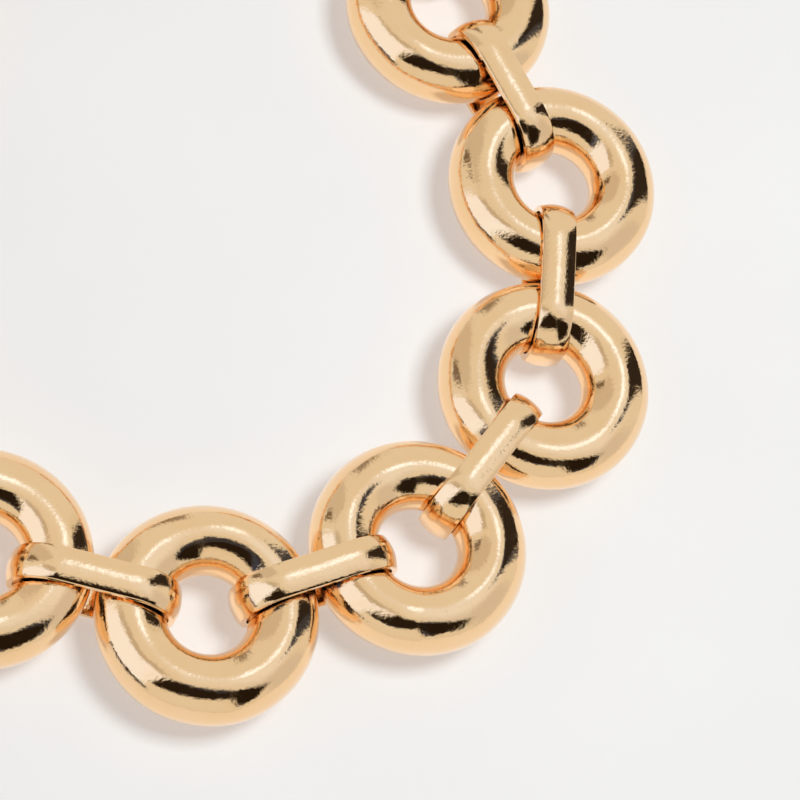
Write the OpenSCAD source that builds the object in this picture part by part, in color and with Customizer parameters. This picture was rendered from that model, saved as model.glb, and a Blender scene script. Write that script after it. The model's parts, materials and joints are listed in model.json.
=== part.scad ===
// Chunky ring necklace: gold-coloured round rings joined by flat strip connectors, with a
// lobster clasp on one end and an extender chain on the other. It lies unfastened and flat.
// The origin is the middle of the front ring, +Z is up and +Y points to the back of the neck.

/* [Rings] */
// Outside diameter of a big ring
ring_od = 28; // [23:0.5:34]
// Thickness of the round tube that a big ring is made of
tube_d = 8.8; // [7:0.1:10.6]
// Gap between two neighbouring big rings
ring_gap = 0.6; // [0.4:0.1:3]
// Diameter of the small vent hole in the outer edge of each ring
vent_d = 0.8; // [0.5:0.1:1.2]
// Depth of that vent hole
vent_depth = 0.6; // [0.4:0.1:1]
// Direction of the vent hole, seen from above
vent_angle = -32; // [-60:1:-20]

/* [Connectors] */
// Width of the strip that a connector is bent from
strip_w = 4.4; // [3.4:0.1:5.4]
// Thickness of the strip along its domed middle
strip_t = 1.2; // [0.9:0.05:1.5]
// Thickness of the strip at its two edges
strip_edge_t = 0.75; // [0.5:0.05:0.85]
// Smallest clearance between a strip's edge and the ring tube inside it
ring_play = 0.18; // [0.1:0.02:0.5]

/* [Jump rings] */
// Wire of the jump ring that hangs on each end connector
jump_wire = 1.4; // [1:0.1:1.7]
// Outside diameter of that jump ring
jump_od = 9.4; // [9:0.1:12]
// Wire of the small rings before the clasp and the end drop
small_wire = 1; // [0.8:0.05:1.2]
// Outside diameter of those small rings
small_od = 5.2; // [4.6:0.1:6]

/* [Chain links] */
// Wire of a small oval link
link_wire = 1; // [0.8:0.05:1.15]
// Outside width of a small oval link
link_w = 4.8; // [4.6:0.1:5.8]
// Outside length of a small oval link
link_len = 6.8; // [5.7:0.1:8.5]
// Clearance between two small links where they hang in each other
link_play = 0.15; // [0.08:0.01:0.25]

/* [Clasp] */
// Thickness of the clasp
clasp_t = 3.8; // [2.9:0.1:4.6]
// Outside radius of the clasp's hook
hook_r = 4.2; // [3.8:0.1:5.4]
// Width of the hook's band
hook_band = 1.7; // [1.4:0.1:2]
// Thickness of the lever
lever_t = 1.2; // [1:0.05:1.4]
// Width of the lever's gate
gate_w = 1.2; // [0.9:0.05:1.4]
// Diameter of the pin that the lever turns on
pin_d = 1.1; // [0.9:0.05:1.3]
// Radial clearance of the lever on its pin
pin_play = 0.05; // [0.03:0.01:0.08]
// Clearance at each side of the lever in its slot
slot_play = 0.2; // [0.12:0.02:0.3]

/* [End drop] */
// Diameter of the ball at the end of the extender
drop_d = 4.4; // [3.6:0.1:5.4]
// Wire of the ball's eye
drop_wire = 0.8; // [0.6:0.05:1]

/* [How it lies] */
// Turn from each connector to the next round the front of the necklace
turn = 32.5; // [26:0.5:36]
// Direction of the connector before the fifth ring, from +X
fifth_heading = 94; // [85:1:110]
// Direction of the end connector and its jump ring, from +X
end_heading = 76; // [60:1:90]
// Turn of each second small link
chain_turn = 9; // [0:1:12]

/* [Hidden] */
$fn = 64;

// Big rings: the tube's radius, the radius of its centre line and the hole
tube_r = tube_d / 2;
ring_r = ring_od / 2 - tube_r;
hole_r = ring_r - tube_r;
pitch = ring_od + ring_gap;

// A strip has straight edges and the hole is round, so the strip's edges need more room
edge_bite = hole_r - sqrt(hole_r * hole_r - strip_w * strip_w / 4);
loop_in = tube_r + edge_bite + ring_play;
loop_out = loop_in + strip_t;
span = pitch - 2 * ring_r;
dome_rise = strip_t - strip_edge_t;
dome_r = (strip_w * strip_w / 4 + dome_rise * dome_rise) / (2 * dome_rise);
floor_z = -loop_out;

// The jump ring holds the end connector's strip and slopes down to the small links
jump_hole = jump_od / 2 - jump_wire;
jump_r = jump_hole + jump_wire / 2;
jump_reach = loop_in - link_play + sqrt(jump_hole * jump_hole - strip_w * strip_w / 4);
chain_z = floor_z + max(link_w, small_od, clasp_t, drop_d) / 2;
jump_slope = asin(-chain_z / (jump_reach + jump_r));
jump_far = (jump_reach + jump_r) * cos(jump_slope);

// Small oval links: the centre line's end radius and its straight
link_hole = link_w / 2 - link_wire;
link_r = link_hole + link_wire / 2;
link_straight = link_len - link_w;
link_pitch = link_hole - link_play - link_wire / 2 + link_r + link_straight;
small_hole = small_od / 2 - small_wire;
small_r = small_hole + small_wire / 2;

// Clasp, along its own length from the middle of its eye
eye_hole = small_wire / 2 + 0.5;
eye_rim = 1.1;
eye_r = eye_hole + eye_rim;
eye_t = 1.6;
base_r = 2.9;
base_at = 4.6;
hook_at = base_at + 1.4 + hook_r;
hook_hole = hook_r - hook_band;
neck_end = base_at - 1.3;
pivot = [base_at + 0.6, 1.2];
hub_r = 1.5;
slot_t = lever_t + 2 * slot_play;
tip_stop = 0.55;
tip_angle = 60;
tip_r = hook_r - tip_stop - slot_play - gate_w / 2;
gate_tip = [hook_at + tip_r * cos(tip_angle), tip_r * sin(tip_angle)];
gate_turn = atan2(gate_tip[1] - pivot[1], gate_tip[0] - pivot[0]);
gate_len = norm(gate_tip - pivot);
mouth_from = 68;
mouth_to = 180;
slot_from = 16;
lug_out = 3.9;
lug_r = 0.8;
lug_room = 0.4;
spring_in = pin_d / 2 + 0.12;
spring_out = spring_in + 0.4;
spring_t = 0.45;
recess_r = spring_out + 0.1;
recess_t = spring_t + 0.05;
drop_eye_r = small_wire / 2 + drop_wire / 2 + 0.6;
drop_at = drop_eye_r + drop_wire / 2 + drop_d / 2 - 0.3;

// Headings of the connectors on the right side; the left side mirrors them
function heading(k) = k < 5 ? turn * (k - 0.5) : (k == 5 ? fifth_heading : end_heading);
function along(a) = [cos(a), sin(a)];
function ring_at(k) = k == 0 ? [0, 0] : ring_at(k - 1) + pitch * along(heading(k));
function connector_at(k) = ring_at(k - 1) + (ring_r + span / 2) * along(heading(k));
function loop_end() = ring_at(5) + (ring_r + span) * along(end_heading);

// Small links: odd ones stand on edge, even ones lie flat, and each odd one turns a little
function link_heading(j) = end_heading - chain_turn * floor((j - 1) / 2);
function first_link() =
  loop_end() + (jump_far - jump_wire / 2 - link_play - link_wire / 2 + link_r) * along(end_heading);
function link_near(j) =
  j == 1 ? first_link()
         : link_far(j - 1) + (link_pitch - link_straight) * along(link_heading(j));
function link_far(j) = link_near(j) + link_straight * along(link_heading(j));
function small_at(j) =
  link_far(j) + (link_hole - link_play - small_wire / 2 + small_r) * along(link_heading(j + 1));

// Middle of an eye that hangs in the small ring after link j: rim_t high and rim_w wide
function seat(rim_t, rim_w) =
  sqrt((small_hole - link_play) * (small_hole - link_play) - rim_t * rim_t / 4) - rim_w / 2;
clasp_at = small_at(4) + (seat(eye_t, eye_rim) + eye_hole + eye_rim / 2) * along(link_heading(5));
end_at = small_at(10)
  + (small_hole - link_play - drop_wire / 2 + drop_eye_r) * along(link_heading(11));

// Puts a piece at p with its length along heading a; side -1 is the mirrored left side
module place(side, p, a, z = 0) {
  translate([side * p[0], p[1], z]) rotate([0, 0, side > 0 ? a : 180 - a]) children();
}

module torus(mid_r, r) {
  rotate_extrude() translate([mid_r, 0]) circle(r);
}

// Big ring with its vent hole
module big_ring(side, k) {
  color("gold") place(side, ring_at(k), 0)
    difference() {
      torus(ring_r, tube_r);
      rotate([0, 0, side > 0 ? vent_angle : -vent_angle])
        translate([ring_r + tube_r - vent_depth, 0, 0])
          rotate([0, 90, 0]) cylinder(h = 2 * vent_depth, d = vent_d);
    }
}

// Cross-section of the strip, flat inside at x = loop_in and domed outside
module strip_section() {
  intersection() {
    translate([loop_in, -strip_w / 2]) square([strip_t, strip_w]);
    translate([loop_out - dome_r, 0]) circle(dome_r, $fn = 200);
  }
}

module strip_bend() {
  rotate_extrude(angle = 180) strip_section();
}

module strip_bar() {
  rotate([90, 0, 90]) translate([0, 0, -span / 2]) linear_extrude(span)
    rotate(90) strip_section();
}

// Connector: a closed loop of strip that stands on edge round two ring tubes
module connector(side, k) {
  color("gold") place(side, connector_at(k), heading(k)) {
    translate([span / 2, 0, 0]) rotate([90, 0, 0]) rotate([0, 0, -90]) strip_bend();
    translate([-span / 2, 0, 0]) rotate([90, 0, 0]) rotate([0, 0, 90]) strip_bend();
    strip_bar();
    mirror([0, 0, 1]) strip_bar();
  }
}

module jump_ring(side) {
  color("gold") place(side, loop_end(), end_heading)
    rotate([0, jump_slope, 0]) translate([jump_reach, 0, 0]) torus(jump_r, jump_wire / 2);
}

// Half of an oval link: one round end and one straight
module link_half() {
  translate([link_straight / 2, 0, 0]) {
    rotate([0, 0, -90]) rotate_extrude(angle = 180) translate([link_r, 0]) circle(link_wire / 2);
    translate([-link_straight, link_r, 0]) rotate([0, 90, 0])
      cylinder(h = link_straight, d = link_wire);
  }
}

module chain_link(side, j) {
  mid = (link_near(j) + link_far(j)) / 2;
  color("gold") place(side, mid, link_heading(j), chain_z)
    rotate([j % 2 == 1 ? 90 : 0, 0, 0]) {
      link_half();
      rotate([0, 0, 180]) link_half();
    }
}

module small_ring(side, j) {
  color("gold") place(side, small_at(j), link_heading(j + 1), chain_z)
    rotate([90, 0, 0]) torus(small_r, small_wire / 2);
}

// Wedge of an angle range, far wider than the clasp
module wedge(from, to, r) {
  mid = (from + to) / 2;
  polygon([[0, 0], r * along(from), r * along(mid), r * along(to)]);
}

module clasp_place() {
  place(-1, clasp_at, link_heading(5), chain_z) children();
}

module clasp_outline() {
  translate([base_at, 0]) circle(base_r);
  difference() {
    translate([hook_at, 0]) circle(hook_r);
    translate([hook_at, 0]) circle(hook_hole);
    translate([hook_at, 0]) wedge(mouth_from, mouth_to, 3 * hook_r);
  }
}

// Clasp body: eye, two cheeks beside the lever and the hook
module clasp_body() {
  color("gold") clasp_place()
    difference() {
      union() {
        translate([0, 0, -eye_t / 2]) cylinder(h = eye_t, r = eye_r);
        translate([0, -eye_rim, -eye_t / 2]) cube([neck_end, 2 * eye_rim, eye_t]);
        translate([0, 0, -clasp_t / 2]) linear_extrude(clasp_t) clasp_outline();
      }
      translate([0, 0, -clasp_t]) cylinder(h = 2 * clasp_t, r = eye_hole);
      translate([neck_end, -2 * base_r, -slot_t / 2])
        cube([hook_at - hook_hole - neck_end, 4 * base_r, slot_t]);
      translate([base_at - base_r, -2 * base_r, -slot_t / 2])
        cube([base_r, 2 * base_r - eye_rim - lug_room, slot_t]);
      translate([hook_at, 0, -slot_t / 2]) linear_extrude(slot_t)
        intersection() {
          circle(hook_r - tip_stop);
          wedge(slot_from, mouth_to, 3 * hook_r);
        }
      translate([pivot[0], pivot[1], -clasp_t]) cylinder(h = 2 * clasp_t, d = pin_d);
    }
}

// Lever: hub on the pin, gate across the mouth and thumb lug on the other side
module clasp_lever() {
  color("goldenrod") clasp_place()
    translate([pivot[0], pivot[1], 0]) difference() {
      translate([0, 0, -lever_t / 2]) linear_extrude(lever_t) {
        circle(hub_r);
        rotate(gate_turn) translate([0, -gate_w / 2]) square([gate_len, gate_w]);
        rotate(gate_turn) translate([gate_len, 0]) circle(gate_w / 2);
        translate([-gate_w / 2, -lug_out - pivot[1]]) square([gate_w, lug_out + pivot[1]]);
        translate([0, -lug_out - pivot[1]]) circle(lug_r);
      }
      translate([0, 0, -lever_t]) cylinder(h = 2 * lever_t, r = pin_d / 2 + pin_play);
      translate([0, 0, lever_t / 2 - recess_t]) cylinder(h = lever_t, r = recess_r);
    }
}

module clasp_pin() {
  color("goldenrod") clasp_place()
    translate([pivot[0], pivot[1], -clasp_t / 2]) cylinder(h = clasp_t, d = pin_d);
}

// Torsion spring, coiled round the pin in the lever's recess
module clasp_spring() {
  color("silver") clasp_place()
    translate([pivot[0], pivot[1], lever_t / 2 - spring_t])
      difference() {
        cylinder(h = spring_t, r = spring_out);
        translate([0, 0, -spring_t]) cylinder(h = 3 * spring_t, r = spring_in);
      }
}

// Ball with a flat eye on the end of the extender
module end_drop() {
  color("gold") place(1, end_at, link_heading(11), chain_z) {
    torus(drop_eye_r, drop_wire / 2);
    translate([drop_at, 0, 0]) sphere(drop_d / 2);
  }
}

big_ring(1, 0);  // ring_front
big_ring(1, 1);  // ring_right_1
big_ring(1, 2);  // ring_right_2
big_ring(1, 3);  // ring_right_3
big_ring(1, 4);  // ring_right_4
big_ring(1, 5);  // ring_right_5
big_ring(-1, 1);  // ring_left_1
big_ring(-1, 2);  // ring_left_2
big_ring(-1, 3);  // ring_left_3
big_ring(-1, 4);  // ring_left_4
big_ring(-1, 5);  // ring_left_5
connector(1, 1);  // connector_right_1
connector(1, 2);  // connector_right_2
connector(1, 3);  // connector_right_3
connector(1, 4);  // connector_right_4
connector(1, 5);  // connector_right_5
connector(1, 6);  // connector_right_6
connector(-1, 1);  // connector_left_1
connector(-1, 2);  // connector_left_2
connector(-1, 3);  // connector_left_3
connector(-1, 4);  // connector_left_4
connector(-1, 5);  // connector_left_5
connector(-1, 6);  // connector_left_6
jump_ring(1);  // jump_ring_right
jump_ring(-1);  // jump_ring_left
chain_link(1, 1);  // extender_link_01
chain_link(1, 2);  // extender_link_02
chain_link(1, 3);  // extender_link_03
chain_link(1, 4);  // extender_link_04
chain_link(1, 5);  // extender_link_05
chain_link(1, 6);  // extender_link_06
chain_link(1, 7);  // extender_link_07
chain_link(1, 8);  // extender_link_08
chain_link(1, 9);  // extender_link_09
chain_link(1, 10);  // extender_link_10
small_ring(1, 10);  // drop_ring
end_drop();
chain_link(-1, 1);  // back_link_1
chain_link(-1, 2);  // back_link_2
chain_link(-1, 3);  // back_link_3
chain_link(-1, 4);  // back_link_4
small_ring(-1, 4);  // clasp_ring
clasp_body();
clasp_lever();
clasp_pin();
clasp_spring();
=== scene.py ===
import json
import math
import bpy
import bmesh
from mathutils import Matrix, Vector, noise


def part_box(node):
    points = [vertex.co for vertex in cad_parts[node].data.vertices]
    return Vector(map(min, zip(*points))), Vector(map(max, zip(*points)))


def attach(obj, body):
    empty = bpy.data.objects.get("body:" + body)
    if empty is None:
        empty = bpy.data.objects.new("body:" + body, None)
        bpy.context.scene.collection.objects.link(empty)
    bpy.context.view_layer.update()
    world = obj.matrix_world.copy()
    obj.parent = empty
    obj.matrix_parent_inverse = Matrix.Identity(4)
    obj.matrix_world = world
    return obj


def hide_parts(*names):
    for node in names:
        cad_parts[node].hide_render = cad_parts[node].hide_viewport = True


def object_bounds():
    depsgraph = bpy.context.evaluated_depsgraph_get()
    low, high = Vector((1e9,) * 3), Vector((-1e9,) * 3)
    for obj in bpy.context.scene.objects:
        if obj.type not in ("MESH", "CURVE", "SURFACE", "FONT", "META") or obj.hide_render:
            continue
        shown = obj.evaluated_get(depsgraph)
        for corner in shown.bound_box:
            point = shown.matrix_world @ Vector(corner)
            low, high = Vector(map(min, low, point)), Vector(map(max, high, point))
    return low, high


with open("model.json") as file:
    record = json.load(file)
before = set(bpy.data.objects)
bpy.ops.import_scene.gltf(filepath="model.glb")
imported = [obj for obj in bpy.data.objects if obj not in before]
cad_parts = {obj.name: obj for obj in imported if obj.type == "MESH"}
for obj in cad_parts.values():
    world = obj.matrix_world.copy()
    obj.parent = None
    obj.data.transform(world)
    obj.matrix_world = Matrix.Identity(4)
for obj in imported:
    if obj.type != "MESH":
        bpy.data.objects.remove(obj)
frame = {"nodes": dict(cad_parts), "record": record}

MM = 0.001
cad_low, cad_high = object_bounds()


# ---- Camera -------------------------------------------------------------------------
# A long lens above the front of the necklace, leaning a little back and to the left, so
# that the front ring and the four rings after it run from lower left to upper right.
camera = bpy.data.cameras.new("studio_camera")
camera.sensor_width = 36
camera.angle = math.radians(13.92)
camera.clip_start = 0.01
camera.clip_end = 20
camera_stand = bpy.data.objects.new("studio_camera", camera)
bpy.context.scene.collection.objects.link(camera_stand)
lens_at = Vector((-72.8, -111.5, 381.6)) * MM
looks_at = Vector((27.1, 27.8, 0)) * MM
camera_up = Vector((0.012, 0.938, 0.346))
ahead = (looks_at - lens_at).normalized()
right = ahead.cross(camera_up).normalized()
above = right.cross(ahead)
camera_turn = Matrix((right, above, -ahead)).transposed().to_4x4()
camera_stand.matrix_world = Matrix.Translation(lens_at) @ camera_turn
bpy.context.scene.camera = camera_stand
bpy.context.scene.view_settings.view_transform = "Standard"


# ---- Floor --------------------------------------------------------------------------
# The necklace lies on a light table: a sheet of matt white plastic, softly lit from below.
# Its surface has a faint mottling and a fine tooth.
board_half = 2.0
bm = bmesh.new()
bmesh.ops.create_grid(bm, x_segments=8, y_segments=8, size=board_half)
bmesh.ops.translate(bm, verts=bm.verts, vec=(0.02, 0.05, cad_low.z))
board_mesh = bpy.data.meshes.new("white_board")
bm.to_mesh(board_mesh)
bm.free()
board = bpy.data.objects.new("white_board", board_mesh)
bpy.context.scene.collection.objects.link(board)

board_paint = bpy.data.materials.new("white_board")
board_paint.use_nodes = True
nodes, links = board_paint.node_tree.nodes, board_paint.node_tree.links
shader = nodes["Principled BSDF"]
shader.inputs["Roughness"].default_value = 0.75
shader.inputs["Specular IOR Level"].default_value = 0.25
shader.inputs["Emission Color"].default_value = (1.0, 0.93, 0.89, 1)
shader.inputs["Emission Strength"].default_value = 0.42
place = nodes.new("ShaderNodeTexCoord")
mottle = nodes.new("ShaderNodeTexNoise")
mottle.inputs["Scale"].default_value = 25
mottle.inputs["Detail"].default_value = 4
shade = nodes.new("ShaderNodeValToRGB")
shade.color_ramp.elements[0].position = 0.3
shade.color_ramp.elements[0].color = (0.6, 0.6, 0.59, 1)
shade.color_ramp.elements[1].position = 0.7
shade.color_ramp.elements[1].color = (0.63, 0.63, 0.62, 1)
tooth = nodes.new("ShaderNodeTexNoise")
tooth.inputs["Scale"].default_value = 2200
tooth.inputs["Detail"].default_value = 3
press = nodes.new("ShaderNodeBump")
press.inputs["Strength"].default_value = 0.25
press.inputs["Distance"].default_value = 0.02 * MM
links.new(place.outputs["Object"], mottle.inputs["Vector"])
links.new(mottle.outputs["Fac"], shade.inputs["Fac"])
links.new(shade.outputs["Color"], shader.inputs["Base Color"])
links.new(place.outputs["Object"], tooth.inputs["Vector"])
links.new(tooth.outputs["Fac"], press.inputs["Height"])
links.new(press.outputs["Normal"], shader.inputs["Normal"])
board_mesh.materials.append(board_paint)


# ---- Studio light -------------------------------------------------------------------
# A white tent stands round the table, with a bright panel on its left side and another
# overhead. The open front and the gaps between panels are dark. A small softbox above, a
# little to the right, gives the shadows.
def towards(turn_deg, down_deg):
    """The direction at a turn from +X and an angle down from straight overhead."""
    turn, down = math.radians(turn_deg), math.radians(down_deg)
    sideways = math.sin(down)
    return Vector((math.cos(turn) * sideways, math.sin(turn) * sideways, math.cos(down)))


tent = bpy.data.worlds.new("studio_tent")
bpy.context.scene.world = tent
tent.use_nodes = True
nodes, links = tent.node_tree.nodes, tent.node_tree.links
nodes.clear()
looking = nodes.new("ShaderNodeTexCoord")


def panel(below, corners, glow, soft):
    """Lays one flat-coloured panel with straight edges over what is below it."""
    points = [towards(*c) for c in corners]
    middle = sum(points, Vector()).normalized()
    inside = None
    for a, b in zip(points, points[1:] + points[:1]):
        edge = a.cross(b).normalized()
        if edge.dot(middle) < 0:
            edge = -edge
        side = nodes.new("ShaderNodeVectorMath")
        side.operation = "DOT_PRODUCT"
        side.inputs[1].default_value = edge
        links.new(looking.outputs["Generated"], side.inputs[0])
        if inside is None:
            inside = side.outputs["Value"]
            continue
        both = nodes.new("ShaderNodeMath")
        both.operation = "MINIMUM"
        links.new(inside, both.inputs[0])
        links.new(side.outputs["Value"], both.inputs[1])
        inside = both.outputs[0]
    cover = nodes.new("ShaderNodeMapRange")
    cover.interpolation_type = "SMOOTHSTEP"
    cover.inputs["From Min"].default_value = -soft
    cover.inputs["From Max"].default_value = soft
    links.new(inside, cover.inputs["Value"])
    lay = nodes.new("ShaderNodeMix")
    lay.data_type = "RGBA"
    lay.inputs["B"].default_value = (*glow, 1)
    links.new(cover.outputs["Result"], lay.inputs["Factor"])
    links.new(below, lay.inputs["A"])
    return lay.outputs["Result"]


cloth = nodes.new("ShaderNodeRGB")
cloth.outputs[0].default_value = (0.77, 0.785, 0.775, 1)
right_side = [(318, 8), (320, 88), (352, 88), (12, 14)]
far_left_cloth = [(110, 30), (112, 88), (140, 88), (150, 40)]
left_panel = [(163, 44), (166, 91), (214, 80), (214, 14)]
left_panel_head = [(163, 46), (156, 28), (190, 8), (203, 22)]
overhead_panel = [(-35, 6), (-28, 38), (12, 44), (50, 32), (80, 16)]
overhead_lamp = [(46, 16), (43, 25), (55, 30), (66, 26), (64, 17)]
open_front = [(222, 14), (216, 68), (250, 53), (283, 55), (292, 24)]
open_front_right = [(290, 26), (283, 54), (289, 82), (310, 77), (325, 58), (316, 34)]
right_gap = [(12, 34), (11, 92), (35, 92), (36, 40)]
back_gap = [(93, 58), (92, 88), (104, 88)]
far_left_gap = [(150, 50), (140, 64), (140, 80), (152, 82)]
table_edge = [(183, 94), (183, 87), (217, 80), (219, 86)]
light = cloth.outputs[0]
for corners, glow, soft in (
    (right_side, (0.67, 0.68, 0.71), 0.08),
    (far_left_cloth, (0.62, 0.6, 0.57), 0.05),
    (left_panel, (0.96, 1.12, 1.5), 0.012),
    (left_panel_head, (0.55, 0.53, 0.5), 0.03),
    (overhead_panel, (0.84, 0.92, 1.06), 0.22),
    (overhead_lamp, (1.2, 1.55, 2.2), 0.06),
    (open_front, (0.02, 0.014, 0.009), 0.02),
    (open_front_right, (0.018, 0.013, 0.008), 0.02),
    (right_gap, (0.03, 0.024, 0.02), 0.03),
    (back_gap, (0.3, 0.26, 0.21), 0.02),
    (far_left_gap, (0.2, 0.16, 0.12), 0.02),
    (table_edge, (0.03, 0.02, 0.015), 0.012),
):
    light = panel(light, corners, glow, soft)
tent_light = nodes.new("ShaderNodeBackground")
tent_look = nodes.new("ShaderNodeBackground")
tent_look.inputs["Color"].default_value = (0.86, 0.85, 0.86, 1)
ray = nodes.new("ShaderNodeLightPath")
which = nodes.new("ShaderNodeMixShader")
tent_out = nodes.new("ShaderNodeOutputWorld")
fill = nodes.new("ShaderNodeMapRange")
fill.inputs["To Min"].default_value = 1.0
fill.inputs["To Max"].default_value = 0.3
links.new(light, tent_light.inputs["Color"])
links.new(ray.outputs["Is Diffuse Ray"], fill.inputs["Value"])
links.new(fill.outputs["Result"], tent_light.inputs["Strength"])
links.new(ray.outputs["Is Camera Ray"], which.inputs["Fac"])
links.new(tent_light.outputs[0], which.inputs[1])
links.new(tent_look.outputs[0], which.inputs[2])
links.new(which.outputs[0], tent_out.inputs["Surface"])

softbox = bpy.data.lights.new("overhead_softbox", "AREA")
softbox.shape = "RECTANGLE"
softbox_side = 0.15
softbox.size = softbox_side
softbox.size_y = softbox_side
softbox.energy = 1.4
softbox.color = (0.92, 0.98, 1.0)
softbox_stand = bpy.data.objects.new("overhead_softbox", softbox)
softbox_stand.visible_glossy = False
bpy.context.scene.collection.objects.link(softbox_stand)
softbox_at = Vector((0.14, 0.02, 0.46))
softbox_aim = Vector((0.02, 0.04, 0))
softbox_turn = (softbox_at - softbox_aim).to_track_quat("Z", "Y").to_matrix().to_4x4()
softbox_stand.matrix_world = Matrix.Translation(softbox_at) @ softbox_turn


# ---- Gold plating -------------------------------------------------------------------
# Every visible piece is brass under a bright pale gold plating and a thin clear lacquer.
# Hand polishing leaves it mirror-like but never quite even: it sways and ripples slowly,
# and has a fine orange peel and faint hairlines.
plating = bpy.data.node_groups.new("gold_plating", "ShaderNodeTree")
for label, kind, start in (
    ("Sway", "NodeSocketFloat", 1.0),
    ("Ripple", "NodeSocketFloat", 1.0),
    ("Peel", "NodeSocketFloat", 1.0),
    ("Hairlines", "NodeSocketFloat", 1.0),
    ("Haze", "NodeSocketFloat", 0.05),
    ("Pale Gold", "NodeSocketColor", (1.0, 0.7, 0.395, 1)),
    ("Deep Gold", "NodeSocketColor", (1.0, 0.63, 0.31, 1)),
):
    made = plating.interface.new_socket(label, in_out="INPUT", socket_type=kind)
    made.default_value = start
for label, kind in (
    ("Colour", "NodeSocketColor"),
    ("Roughness", "NodeSocketFloat"),
    ("Normal", "NodeSocketVector"),
):
    plating.interface.new_socket(label, in_out="OUTPUT", socket_type=kind)
nodes, links = plating.nodes, plating.links
given = nodes.new("NodeGroupInput")
result = nodes.new("NodeGroupOutput")
where = nodes.new("ShaderNodeTexCoord")


def mottling(scale, detail, stretch=None):
    """Noise on the piece's own coordinates, drawn out one way for hairlines."""
    grain = nodes.new("ShaderNodeTexNoise")
    grain.inputs["Scale"].default_value = scale
    grain.inputs["Detail"].default_value = detail
    if stretch:
        draw = nodes.new("ShaderNodeMapping")
        draw.inputs["Scale"].default_value = stretch
        draw.inputs["Rotation"].default_value = (0.4, 0.2, 0.7)
        links.new(where.outputs["Object"], draw.inputs["Vector"])
        links.new(draw.outputs["Vector"], grain.inputs["Vector"])
    else:
        links.new(where.outputs["Object"], grain.inputs["Vector"])
    return grain.outputs["Fac"]


def reckon(kind, a, b):
    """One sum on two values or sockets."""
    sum_of = nodes.new("ShaderNodeMath")
    sum_of.operation = kind
    for socket, value in zip(sum_of.inputs, (a, b)):
        if isinstance(value, (int, float)):
            socket.default_value = value
        else:
            links.new(value, socket)
    return sum_of.outputs[0]


sway = mottling(62, 0.5)
slow_ripple = mottling(330, 1.5)
peel = mottling(2300, 4)
sand = mottling(5200, 2)
dull_patches = mottling(700, 5)
hairlines = mottling(1500, 2, (0.12, 1.6, 1.6))
sway_depth = 2.6
height = reckon("MULTIPLY", reckon("MULTIPLY", sway, given.outputs["Sway"]), sway_depth)
for grain, amount, depth in (
    (slow_ripple, "Ripple", 0.06),
    (peel, "Peel", 0.02),
    (sand, "Peel", 0.0045),
    (hairlines, "Hairlines", 0.0016),
):
    scaled = reckon("MULTIPLY", grain, given.outputs[amount])
    height = reckon("ADD", height, reckon("MULTIPLY", scaled, depth))
surface = nodes.new("ShaderNodeBump")
surface.inputs["Distance"].default_value = MM
links.new(height, surface.inputs["Height"])
dull = nodes.new("ShaderNodeMapRange")
dull.inputs["From Min"].default_value = 0.48
dull.inputs["From Max"].default_value = 0.72
dull.inputs["To Min"].default_value = 0.0
dull.inputs["To Max"].default_value = 0.09
links.new(dull_patches, dull.inputs["Value"])
tint = nodes.new("ShaderNodeMix")
tint.data_type = "RGBA"
links.new(mottling(180, 3), tint.inputs["Factor"])
links.new(given.outputs["Pale Gold"], tint.inputs["A"])
links.new(given.outputs["Deep Gold"], tint.inputs["B"])
links.new(tint.outputs["Result"], result.inputs["Colour"])
links.new(reckon("ADD", dull.outputs["Result"], given.outputs["Haze"]), result.inputs["Roughness"])
links.new(surface.outputs["Normal"], result.inputs["Normal"])


def plated(name, ripple, peel_amount, hairline_amount, haze, sway_amount=0.0):
    """Lacquered gold plating on brass, with its own amounts of ripple and wear."""
    finish = bpy.data.materials.new(name)
    finish.use_nodes = True
    tree = finish.node_tree
    metal = tree.nodes["Principled BSDF"]
    metal.inputs["Metallic"].default_value = 1.0
    metal.inputs["Coat Weight"].default_value = 0.7
    metal.inputs["Coat Roughness"].default_value = 0.05
    coat = tree.nodes.new("ShaderNodeGroup")
    coat.node_tree = plating
    coat.inputs["Sway"].default_value = sway_amount
    coat.inputs["Ripple"].default_value = ripple
    coat.inputs["Peel"].default_value = peel_amount
    coat.inputs["Hairlines"].default_value = hairline_amount
    coat.inputs["Haze"].default_value = haze
    tree.links.new(coat.outputs["Colour"], metal.inputs["Base Color"])
    tree.links.new(coat.outputs["Roughness"], metal.inputs["Roughness"])
    tree.links.new(coat.outputs["Normal"], metal.inputs["Normal"])
    return finish


# ---- Big rings ----------------------------------------------------------------------
# Each big ring is hollow brass tube of 8.8 mm, bent round, closed and polished by hand,
# so its surface is never quite true. A vent hole in its outer edge let the bath drain.
ring_mid = 9.6 * MM
tube_r = 4.4 * MM
vent_r = 0.4 * MM
vent_depth = 0.55 * MM
vent_turn = -32
vent_rim = 0.16 * MM
ring_steps = 128
up = Vector((0, 0, 1))
bodies = frame["record"]["behaviour"]["bodies"]
body_with = {node: body for body, members in bodies.items() for node in members}
ring_gold = plated("ring_gold", 1.0, 1.0, 1.0, 0.035, 1.0)
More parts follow.
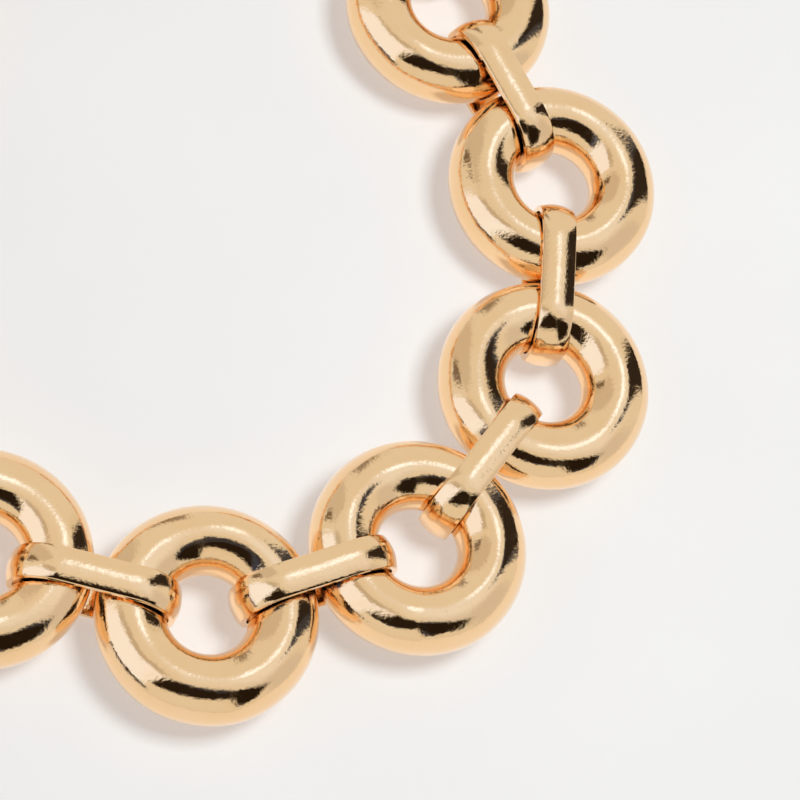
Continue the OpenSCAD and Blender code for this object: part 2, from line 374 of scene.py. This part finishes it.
# The walls of each vent hole are coloured near-black with a faint noise. This is painted shade standing
# in for the dark hollow inside the tube, not a colour of the metal.
vent_painted_shade = bpy.data.materials.new("vent_shadow")
vent_painted_shade.use_nodes = True
vent_shade_surface = vent_painted_shade.node_tree.nodes["Principled BSDF"]
vent_shade_surface.inputs["Metallic"].default_value = 0.6
vent_shade_surface.inputs["Roughness"].default_value = 0.6
vent_shade_noise = vent_painted_shade.node_tree.nodes.new("ShaderNodeTexNoise")
vent_shade_noise.inputs["Scale"].default_value = 6000
vent_shade_ramp = vent_painted_shade.node_tree.nodes.new("ShaderNodeValToRGB")
vent_shade_ramp.color_ramp.elements[0].color = (0.012, 0.008, 0.005, 1)
vent_shade_ramp.color_ramp.elements[1].color = (0.05, 0.03, 0.015, 1)
vent_shade_place = vent_painted_shade.node_tree.nodes.new("ShaderNodeTexCoord")
vent_painted_shade.node_tree.links.new(vent_shade_place.outputs["Object"], vent_shade_noise.inputs["Vector"])
vent_painted_shade.node_tree.links.new(vent_shade_noise.outputs["Fac"], vent_shade_ramp.inputs["Fac"])
vent_painted_shade.node_tree.links.new(vent_shade_ramp.outputs["Color"], vent_shade_surface.inputs["Base Color"])


def finished(bm, name, node, slot, *materials):
    """Makes a smooth piece of the mesh, in place of the CAD node and on its body."""
    mesh = bpy.data.meshes.new(name)
    bm.to_mesh(mesh)
    bm.free()
    for p in mesh.polygons:
        p.use_smooth = True
    for m in materials:
        mesh.materials.append(m)
    piece = bpy.data.objects.new(name, mesh)
    bpy.context.scene.collection.objects.link(piece)
    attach(piece, body_with[node])
    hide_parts(node)


def uneven(bm, depth, scale, seed):
    """Hand polishing leaves soft highs and lows in the surface."""
    bm.normal_update()
    for v in bm.verts:
        v.co += v.normal * depth * noise.noise(v.co * scale + Vector((seed, seed * 0.7, 0)))


def middle_of(node):
    """The middle of the CAD node's box."""
    low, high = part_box(node)
    return (low + high) / 2


ring_nodes = ["ring_front"] + [f"ring_{side}_{k}" for side in ("right", "left") for k in range(1, 6)]
for seed, node in enumerate(ring_nodes):
    turn = math.radians(180 - vent_turn if "left" in node else vent_turn)
    outward = Vector((math.cos(turn), math.sin(turn), 0))
    stand = Matrix((up, outward, up.cross(outward))).transposed().to_4x4()
    bm = bmesh.new()
    tube_place = Matrix.Translation(outward * ring_mid) @ stand
    bmesh.ops.create_circle(bm, radius=tube_r, segments=48, matrix=tube_place)
    bmesh.ops.spin(
        bm, geom=bm.verts[:] + bm.edges[:], cent=(0, 0, 0), axis=up,
        angle=2 * math.pi, steps=ring_steps, use_merge=True,
    )
    uneven(bm, 0.05 * MM, 140, seed * 3.1)
    vent = max(bm.verts, key=lambda v: v.co.dot(outward))
    rim_at = vent.co.copy()
    bmesh.ops.dissolve_verts(bm, verts=[vent])
    rim = max(bm.faces, key=lambda f: len(f.verts))
    bmesh.ops.inset_region(bm, faces=[rim], thickness=vent_rim)
    for v in rim.verts:
        away = v.co - rim_at
        away -= outward * away.dot(outward)
        fall = vent_r * vent_r / (2 * tube_r)
        v.co = rim_at + away.normalized() * vent_r - outward * fall
    hole = bmesh.ops.extrude_discrete_faces(bm, faces=[rim])["faces"][0]
    bmesh.ops.translate(bm, verts=hole.verts, vec=-outward * vent_depth)
    # The hole's walls and floor take the second material, the near-black painted shade.
    for f in {f for e in hole.edges for f in e.link_faces}:
        f.material_index = 1
    bmesh.ops.recalc_face_normals(bm, faces=bm.faces)
    bmesh.ops.translate(bm, verts=bm.verts, vec=middle_of(node))
    name = node.replace("ring_", "hollow_ring_")
    finished(bm, name, node, "ring_gold", ring_gold, vent_painted_shade)


# ---- Connectors ---------------------------------------------------------------------
# A connector is brass strip with a low domed outside and crisp edges. It is bent into a
# closed loop round two ring tubes, and its ends lap where they are soldered, inside the
# hole nearer the front of the necklace.
strip_w = 4.4 * MM
strip_t = 1.2 * MM
strip_edge_t = 0.75 * MM
loop_in = 5.068 * MM
loop_out = loop_in + strip_t
loop_span = 9.4 * MM
strip_round = 0.11 * MM
lap_rise = 0.14 * MM
lap_high = -1.2 * MM
lap_low = -4.6 * MM
same_point = 0.002 * MM
connector_gold = plated("connector_gold", 0.75, 1.2, 1.4, 0.04)


def run_round(bm, edges, straight, bend_steps, stops):
    """Carries a profile along the top of a loop, round its far end, back, and round again."""
    for going, last in ((1, straight / 2), (-1, -straight / 2)):
        at = -going * straight / 2
        for stop in [s * going for s in stops] + [last]:
            grown = bmesh.ops.extrude_edge_only(bm, edges=edges)["geom"]
            edges = [e for e in grown if isinstance(e, bmesh.types.BMEdge)]
            ends = {v for e in edges for v in e.verts}
            edges = [e for e in edges if all(v in ends for v in e.verts)]
            corners = [g for g in grown if isinstance(g, bmesh.types.BMVert)]
            bmesh.ops.translate(bm, verts=corners, vec=(stop - at, 0, 0))
            at = stop
        turned = bmesh.ops.spin(
            bm, geom=corners + edges, cent=(last, 0, 0), axis=(0, 1, 0),
            angle=math.pi, steps=bend_steps,
        )["geom_last"]
        edges = [e for e in turned if isinstance(e, bmesh.types.BMEdge)]
    bmesh.ops.remove_doubles(bm, verts=bm.verts, dist=same_point)
    bmesh.ops.recalc_face_normals(bm, faces=bm.faces)


dome_rise = strip_t - strip_edge_t
dome_r = (strip_w * strip_w / 4 + dome_rise * dome_rise) / (2 * dome_rise)
dome_half = math.asin(strip_w / 2 / dome_r)
dome_steps = [dome_half * (i / 5 - 1) for i in range(11)]
connector_places = [(side, k) for side in ("right", "left") for k in range(1, 7)]
for seed, (side, k) in enumerate(connector_places):
    node = f"connector_{side}_{k}"
    nearer = middle_of("ring_front" if k == 1 else f"ring_{side}_{k - 1}")
    middle = middle_of(node)
    along = (middle - nearer).normalized()
    bm = bmesh.new()
    section = [(dome_r * math.sin(a), loop_out - dome_r + dome_r * math.cos(a)) for a in dome_steps]
    section += [(strip_w / 2, loop_in), (-strip_w / 2, loop_in)]
    outline = [bm.verts.new((-loop_span / 2, y, z)) for y, z in section]
    bm.faces.new(outline)
    bmesh.ops.bevel(
        bm, geom=[outline[0], *outline[10:]], offset=strip_round, offset_type="OFFSET",
        segments=3, profile=0.5, affect="VERTICES", material=-1,
    )
    below_dome = {v for v in bm.verts if v.co.z < loop_out - dome_rise}
    flats = [e for e in bm.edges if e.calc_length() > 0.5 * MM and below_dome.issuperset(e.verts)]
    bmesh.ops.subdivide_edges(bm, edges=flats, cuts=4)
    bmesh.ops.delete(bm, geom=bm.faces[:], context="FACES_ONLY")
    top_stops = [i * loop_span / 12 for i in range(-5, 6)]
    run_round(bm, bm.edges[:], loop_span, 36, top_stops)
    for v in bm.verts:
        bend = Vector((v.co.x + loop_span / 2, 0, v.co.z))
        outside = bend.length > loop_in + 0.35 * strip_t
        if outside and bend.x < -0.3 * loop_in and lap_low < v.co.z < lap_high:
            v.co += bend.normalized() * lap_rise
    uneven(bm, 0.035 * MM, 190, 40 + seed * 2.3)
    turned = Matrix((along, up.cross(along), up)).transposed().to_4x4()
    bmesh.ops.transform(bm, matrix=Matrix.Translation(middle) @ turned, verts=bm.verts)
    finished(bm, f"strip_connector_{side}_{k}", node, "connector_gold", connector_gold)


# ---- Jump rings and small rings -----------------------------------------------------
# These are rings of round brass wire, closed butt to butt, with a fine line left where
# the ends meet. The two large ones slope down from the end connectors to the chain.
jump_mid = 4.0 * MM
jump_wire = 1.4 * MM
small_mid = 2.1 * MM
small_wire = 1.0 * MM
jump_joint_turn = 2.2
small_joint_turn = 1.9
end_heading = 76
chain_turn = 9
wire_gold = plated("wire_gold", 0.5, 0.8, 0.8, 0.05)
upright = Matrix.Rotation(math.pi / 2, 4, "X")


def wire_ring(bm, mid, wire):
    """A wire bent round in the XY plane, with the line of its butt joint at the start."""
    gap = math.radians(2.4)
    pinch = 0.88
    start = Matrix.Translation((mid, 0, 0)) @ upright
    bmesh.ops.create_circle(bm, radius=wire / 2, segments=24, matrix=start)
    geom = bm.verts[:] + bm.edges[:]
    for angle, steps, share in (
        (2 * math.pi - gap, 72, 1), (gap / 2, 1, pinch), (gap / 2, 1, 1 / pinch),
    ):
        geom = bmesh.ops.spin(
            bm, geom=geom, cent=(0, 0, 0), axis=up, angle=angle, steps=steps,
        )["geom_last"]
        ends = [g for g in geom if isinstance(g, bmesh.types.BMVert)]
        core = sum((v.co for v in ends), Vector()) / len(ends)
        for v in ends:
            v.co = core + (v.co - core) * share
    bmesh.ops.remove_doubles(bm, verts=bm.verts, dist=same_point)
    bmesh.ops.recalc_face_normals(bm, faces=bm.faces)


def laid(side, heading, at):
    """The place of a piece on the chain: along its heading, mirrored on the left side."""
    turn = heading if side == "right" else 180 - heading
    return Matrix.Translation(at) @ Matrix.Rotation(math.radians(turn), 4, "Z")


for side in ("right", "left"):
    node = f"jump_ring_{side}"
    low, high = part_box(node)
    slope = math.asin((high.z - low.z - jump_wire) / (2 * jump_mid))
    bm = bmesh.new()
    wire_ring(bm, jump_mid, jump_wire)
    bmesh.ops.rotate(bm, verts=bm.verts, matrix=Matrix.Rotation(jump_joint_turn, 3, "Z"))
    uneven(bm, 0.015 * MM, 300, 7 if side == "right" else 11)
    place = laid(side, end_heading, (low + high) / 2) @ Matrix.Rotation(slope, 4, "Y")
    bmesh.ops.transform(bm, matrix=place, verts=bm.verts)
    finished(bm, f"large_jump_ring_{side}", node, "chain_gold", wire_gold)

drop_heading = end_heading - 5 * chain_turn
clasp_heading = end_heading - 2 * chain_turn
for node, side, heading in (("drop_ring", "right", drop_heading), ("clasp_ring", "left", clasp_heading)):
    bm = bmesh.new()
    wire_ring(bm, small_mid, small_wire)
    bmesh.ops.rotate(bm, verts=bm.verts, matrix=Matrix.Rotation(small_joint_turn, 3, "Z"))
    uneven(bm, 0.01 * MM, 400, 15)
    bmesh.ops.transform(bm, matrix=laid(side, heading, middle_of(node)) @ upright, verts=bm.verts)
    finished(bm, f"small_{node}", node, "chain_gold", wire_gold)


# ---- Chain links --------------------------------------------------------------------
# The back chain and the extender are oval cable links of 1 mm brass wire. Every second
# one lies flat. Each is closed with a soldered butt joint in the middle of one side.
link_mid = 1.9 * MM
link_wire = 1.0 * MM
link_straight = 2.0 * MM
joint_w = 0.05 * MM
joint_pinch = 0.86
link_stops = [-2.4 * joint_w, -joint_w, 0, joint_w, 2.4 * joint_w]
link_start = Matrix.Translation((-link_straight / 2, 0, link_mid)) @ Matrix.Rotation(math.pi / 2, 4, "Y")
for side, name, count in (("right", "extender_link", 10), ("left", "back_link", 4)):
    for j in range(1, count + 1):
        node = f"{name}_{j:02d}" if side == "right" else f"{name}_{j}"
        bm = bmesh.new()
        bmesh.ops.create_circle(bm, radius=link_wire / 2, segments=20, matrix=link_start)
        run_round(bm, bm.edges[:], link_straight, 28, link_stops)
        for v in bm.verts:
            if v.co.z > 0 and abs(v.co.x) < joint_w / 2:
                v.co.y *= joint_pinch
                v.co.z = link_mid + (v.co.z - link_mid) * joint_pinch
        uneven(bm, 0.012 * MM, 400, 20 + 1.7 * j)
        tilt = Matrix.Identity(4) if j % 2 == 1 else upright
        heading = end_heading - chain_turn * ((j - 1) // 2)
        bmesh.ops.transform(bm, matrix=laid(side, heading, middle_of(node)) @ tilt, verts=bm.verts)
        finished(bm, f"oval_{node}", node, "chain_gold", wire_gold)


# ---- End drop -----------------------------------------------------------------------
# A solid brass ball hangs on the end of the extender. Its wire eye is soldered to it with
# a small collar.
drop_wire = 0.8 * MM
drop_eye = 1.5 * MM
drop_r = 2.2 * MM
eye_sink = 0.3 * MM
low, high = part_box("end_drop")
drop_along = Matrix.Rotation(math.radians(drop_heading), 3, "Z") @ Vector((1, 0, 0))
bm = bmesh.new()
wire_ring(bm, drop_eye, drop_wire)
bmesh.ops.rotate(bm, verts=bm.verts, matrix=Matrix.Rotation(math.pi, 3, "Z"))
drop_at = drop_eye + drop_wire / 2 + drop_r - eye_sink
ball_place = Matrix.Translation((drop_at, 0, 0)) @ Matrix.Rotation(math.pi / 2, 4, "Y")
bmesh.ops.create_uvsphere(bm, u_segments=48, v_segments=32, radius=drop_r, matrix=ball_place)
collar_place = Matrix.Translation((drop_at - drop_r, 0, 0)) @ Matrix.Rotation(-math.pi / 2, 4, "Y")
collar = bmesh.ops.create_cone(
    bm, cap_ends=True, segments=32, radius1=0.62 * MM, radius2=0.45 * MM,
    depth=0.5 * MM, matrix=collar_place,
)
collar_edges = {e for v in collar["verts"] for e in v.link_edges}
collar_rims = [e for e in collar_edges if len(e.link_faces) == 2 and e.calc_face_angle() > 1]
bmesh.ops.bevel(
    bm, geom=collar_rims, offset=0.06 * MM, offset_type="OFFSET", segments=2,
    profile=0.5, affect="EDGES", material=-1,
)
ball_middle = Vector((high.x - drop_r, high.y - drop_r, (low.z + high.z) / 2))
eye_middle = ball_middle - drop_along * drop_at
drop_place = Matrix.Translation(eye_middle) @ Matrix.Rotation(math.radians(drop_heading), 4, "Z")
bmesh.ops.transform(bm, matrix=drop_place, verts=bm.verts)
finished(bm, "ball_drop", "end_drop", "chain_gold", wire_gold)


# ---- Lobster clasp ------------------------------------------------------------------
# The body and the lever are cast brass, tumbled until their edges are soft, then plated.
# The pin is riveted through the two cheeks, and a small torsion spring shuts the lever.
clasp_gold = plated("clasp_gold", 0.8, 1.4, 1.0, 0.07)
crisp = math.radians(40)
nearly_flat = math.radians(1.5)
for node, name, soft_edge in (
    ("clasp_body", "lobster_clasp_body", 0.16 * MM),
    ("clasp_lever", "lobster_clasp_lever", 0.1 * MM),
    ("clasp_pin", "lobster_clasp_rivet", 0.08 * MM),
):
    bm = bmesh.new()
    bm.from_mesh(frame["nodes"][node].data)
    bmesh.ops.remove_doubles(bm, verts=bm.verts, dist=0.001 * MM)
    bmesh.ops.dissolve_limit(bm, angle_limit=nearly_flat, verts=bm.verts, edges=bm.edges)
    sharp = [e for e in bm.edges if len(e.link_faces) == 2 and e.calc_face_angle() > crisp]
    bmesh.ops.bevel(
        bm, geom=sharp, offset=soft_edge, offset_type="OFFSET", segments=3,
        profile=0.5, affect="EDGES", clamp_overlap=True, material=-1,
    )
    bmesh.ops.recalc_face_normals(bm, faces=bm.faces)
    finished(bm, name, node, "clasp_gold", clasp_gold)

spring_steel = bpy.data.materials.new("spring_steel")
spring_steel.use_nodes = True
steel = spring_steel.node_tree.nodes["Principled BSDF"]
steel.inputs["Metallic"].default_value = 1.0
drawn = spring_steel.node_tree.nodes.new("ShaderNodeTexNoise")
drawn.inputs["Scale"].default_value = 9000
drawn_at = spring_steel.node_tree.nodes.new("ShaderNodeTexCoord")
drawn_tint = spring_steel.node_tree.nodes.new("ShaderNodeValToRGB")
drawn_tint.color_ramp.elements[0].color = (0.42, 0.42, 0.43, 1)
drawn_tint.color_ramp.elements[1].color = (0.66, 0.66, 0.67, 1)
drawn_dull = spring_steel.node_tree.nodes.new("ShaderNodeMapRange")
drawn_dull.inputs["To Min"].default_value = 0.2
drawn_dull.inputs["To Max"].default_value = 0.4
spring_steel.node_tree.links.new(drawn_at.outputs["Object"], drawn.inputs["Vector"])
spring_steel.node_tree.links.new(drawn.outputs["Fac"], drawn_tint.inputs["Fac"])
spring_steel.node_tree.links.new(drawn_tint.outputs["Color"], steel.inputs["Base Color"])
spring_steel.node_tree.links.new(drawn.outputs["Fac"], drawn_dull.inputs["Value"])
spring_steel.node_tree.links.new(drawn_dull.outputs["Result"], steel.inputs["Roughness"])

spring_wire = 0.14 * MM
low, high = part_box("clasp_spring")
coil_mid = (high.x - low.x) / 2 - spring_wire / 2
coil_turns = 2.25
coil_steps = int(coil_turns * 28)
coil_rise = (high.z - low.z - spring_wire) / coil_steps
coil_start = Matrix.Translation((coil_mid, 0, low.z + spring_wire / 2)) @ upright
bm = bmesh.new()
bmesh.ops.create_circle(bm, radius=spring_wire / 2, segments=10, matrix=coil_start)
bmesh.ops.spin(
    bm, geom=bm.verts[:] + bm.edges[:], cent=(0, 0, 0), axis=up,
    dvec=(0, 0, coil_rise), angle=coil_turns * 2 * math.pi, steps=coil_steps,
)
bmesh.ops.holes_fill(bm, edges=[e for e in bm.edges if e.is_boundary], sides=12)
bmesh.ops.recalc_face_normals(bm, faces=bm.faces)
bmesh.ops.translate(bm, verts=bm.verts, vec=((low.x + high.x) / 2, (low.y + high.y) / 2, 0))
finished(bm, "lever_spring", "clasp_spring", "spring_steel", spring_steel)
